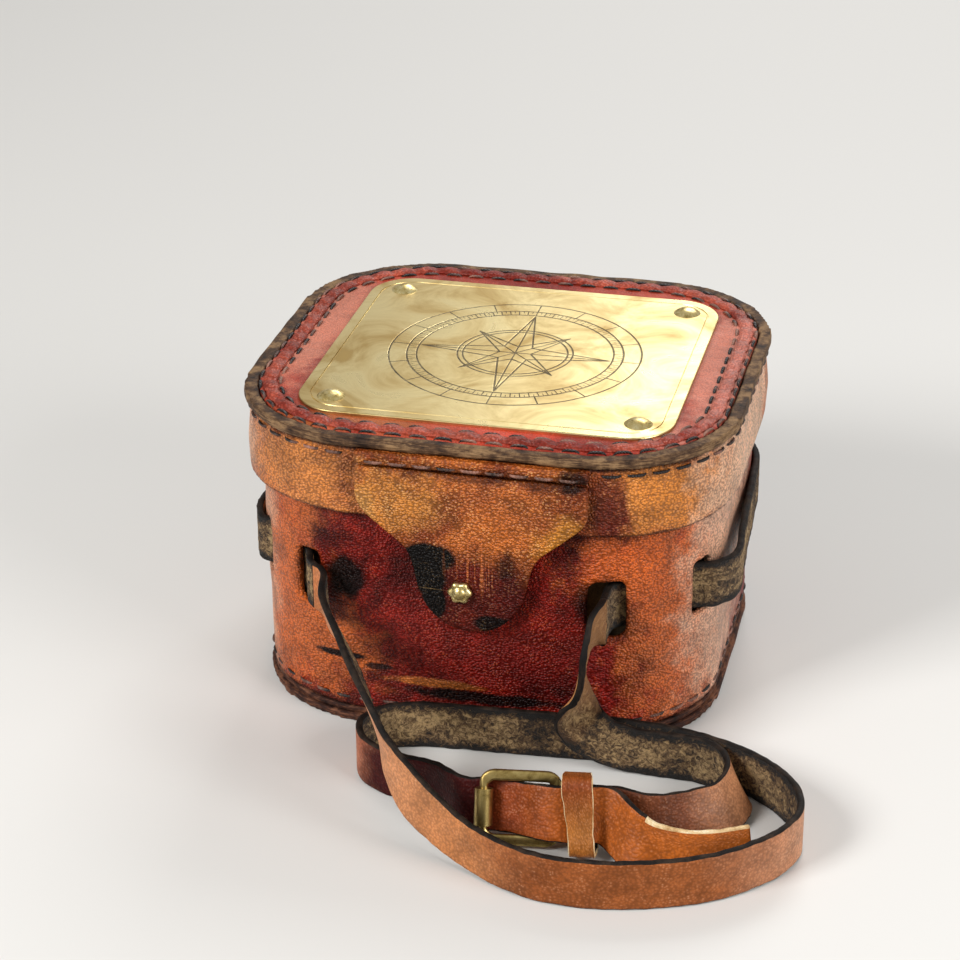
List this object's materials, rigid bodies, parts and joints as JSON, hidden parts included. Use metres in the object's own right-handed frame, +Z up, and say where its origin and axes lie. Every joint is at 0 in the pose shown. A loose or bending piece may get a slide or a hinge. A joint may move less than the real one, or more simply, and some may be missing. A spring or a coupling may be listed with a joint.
{
  "type": "sextant box",
  "caption": "Rounded leather instrument box with a hinged cap lid, brass plaque, flap closing on a brass stud and a buckled carrying strap lying in front.",
  "frame": {"origin": "middle of the base, on the surface that the box stands on", "axes": "+Z up through the lid; the closing flap and the strap's loop are on the -Y side; +X to the right"},
  "size_m": [0.1824, 0.2192, 0.098],
  "materials": {
    "case_leather": "burnished",
    "lid_leather": "waxed",
    "strap_leather": "matte",
    "liner_suede": "suede",
    "lid_board": "plain",
    "brass_polished": "polished",
    "brass_antique": "antiqued",
    "waxed_thread": "waxed"
  },
  "bodies": {
    "case": {"base_panel": "case_leather", "base_welt": "case_leather", "body_wall": "case_leather", "base_stitching": "waxed_thread", "liner_shell": "liner_suede", "base_pad": "liner_suede", "closure_stud": "brass_antique", "stud_washer": "brass_antique", "hinge_leaf_lower": "case_leather", "hinge_stitches_lower": "waxed_thread", "strap_back": "strap_leather", "strap_left_drop": "strap_leather", "strap_outer_run": "strap_leather", "strap_front_run": "strap_leather", "strap_tip": "strap_leather", "strap_right_drop": "strap_leather", "strap_chape_run": "strap_leather", "strap_chape": "strap_leather"},
    "lid": {"lid_skirt": "case_leather", "lid_welt": "case_leather", "lid_panel": "lid_leather", "lid_board": "lid_board", "lid_lining": "liner_suede", "lid_braid": "lid_leather", "lid_stitching_outer": "waxed_thread", "lid_stitching_inner": "waxed_thread", "skirt_stitching": "waxed_thread", "brass_plaque": "brass_polished", "plaque_rivets": "brass_polished", "rivet_burrs": "brass_antique", "flap_root": "case_leather", "flap_stitching": "waxed_thread", "hinge_leaf_upper": "case_leather", "hinge_stitches_upper": "waxed_thread"},
    "flap": {"closure_flap": "case_leather"},
    "buckle": {"buckle_frame": "brass_antique"},
    "roller": {"buckle_roller": "brass_antique"},
    "prong": {"buckle_prong": "brass_antique"},
    "keeper": {"keeper_loop": "strap_leather"}
  },
  "joints": [
    {"name": "lid_hinge", "type": "hinge", "parent": "case", "child": "lid", "pos_m": [0, 0.06979, 0.0706], "axis": [-1, 0, 0], "range_deg": [0, 140]},
    {"name": "flap_lift", "type": "hinge", "parent": "lid", "child": "flap", "pos_m": [0.0033, -0.06993, 0.088], "axis": [-1, 0, 0], "range_deg": [0, 150], "deforming": ["closure_flap"]},
    {"name": "buckle_swing", "type": "hinge", "parent": "case", "child": "buckle", "pos_m": [0.03877, -0.11758, 0.0109], "axis": [-0.0517, 0.3678, 0.9284], "range_deg": [0, 35]},
    {"name": "roller_spin", "type": "hinge", "parent": "buckle", "child": "roller", "pos_m": [0.01856, -0.12042, 0.0109], "axis": [-0.0517, 0.3678, 0.9284], "continuous": true},
    {"name": "prong_swing", "type": "hinge", "parent": "case", "child": "prong", "pos_m": [0.03877, -0.11758, 0.0109], "axis": [0.0517, -0.3678, -0.9284], "range_deg": [0, 30]},
    {"name": "keeper_slide", "type": "slide", "parent": "case", "child": "keeper", "axis": [0.9903, 0.1392, 0], "range_m": [0, 0.002]}
  ]
}
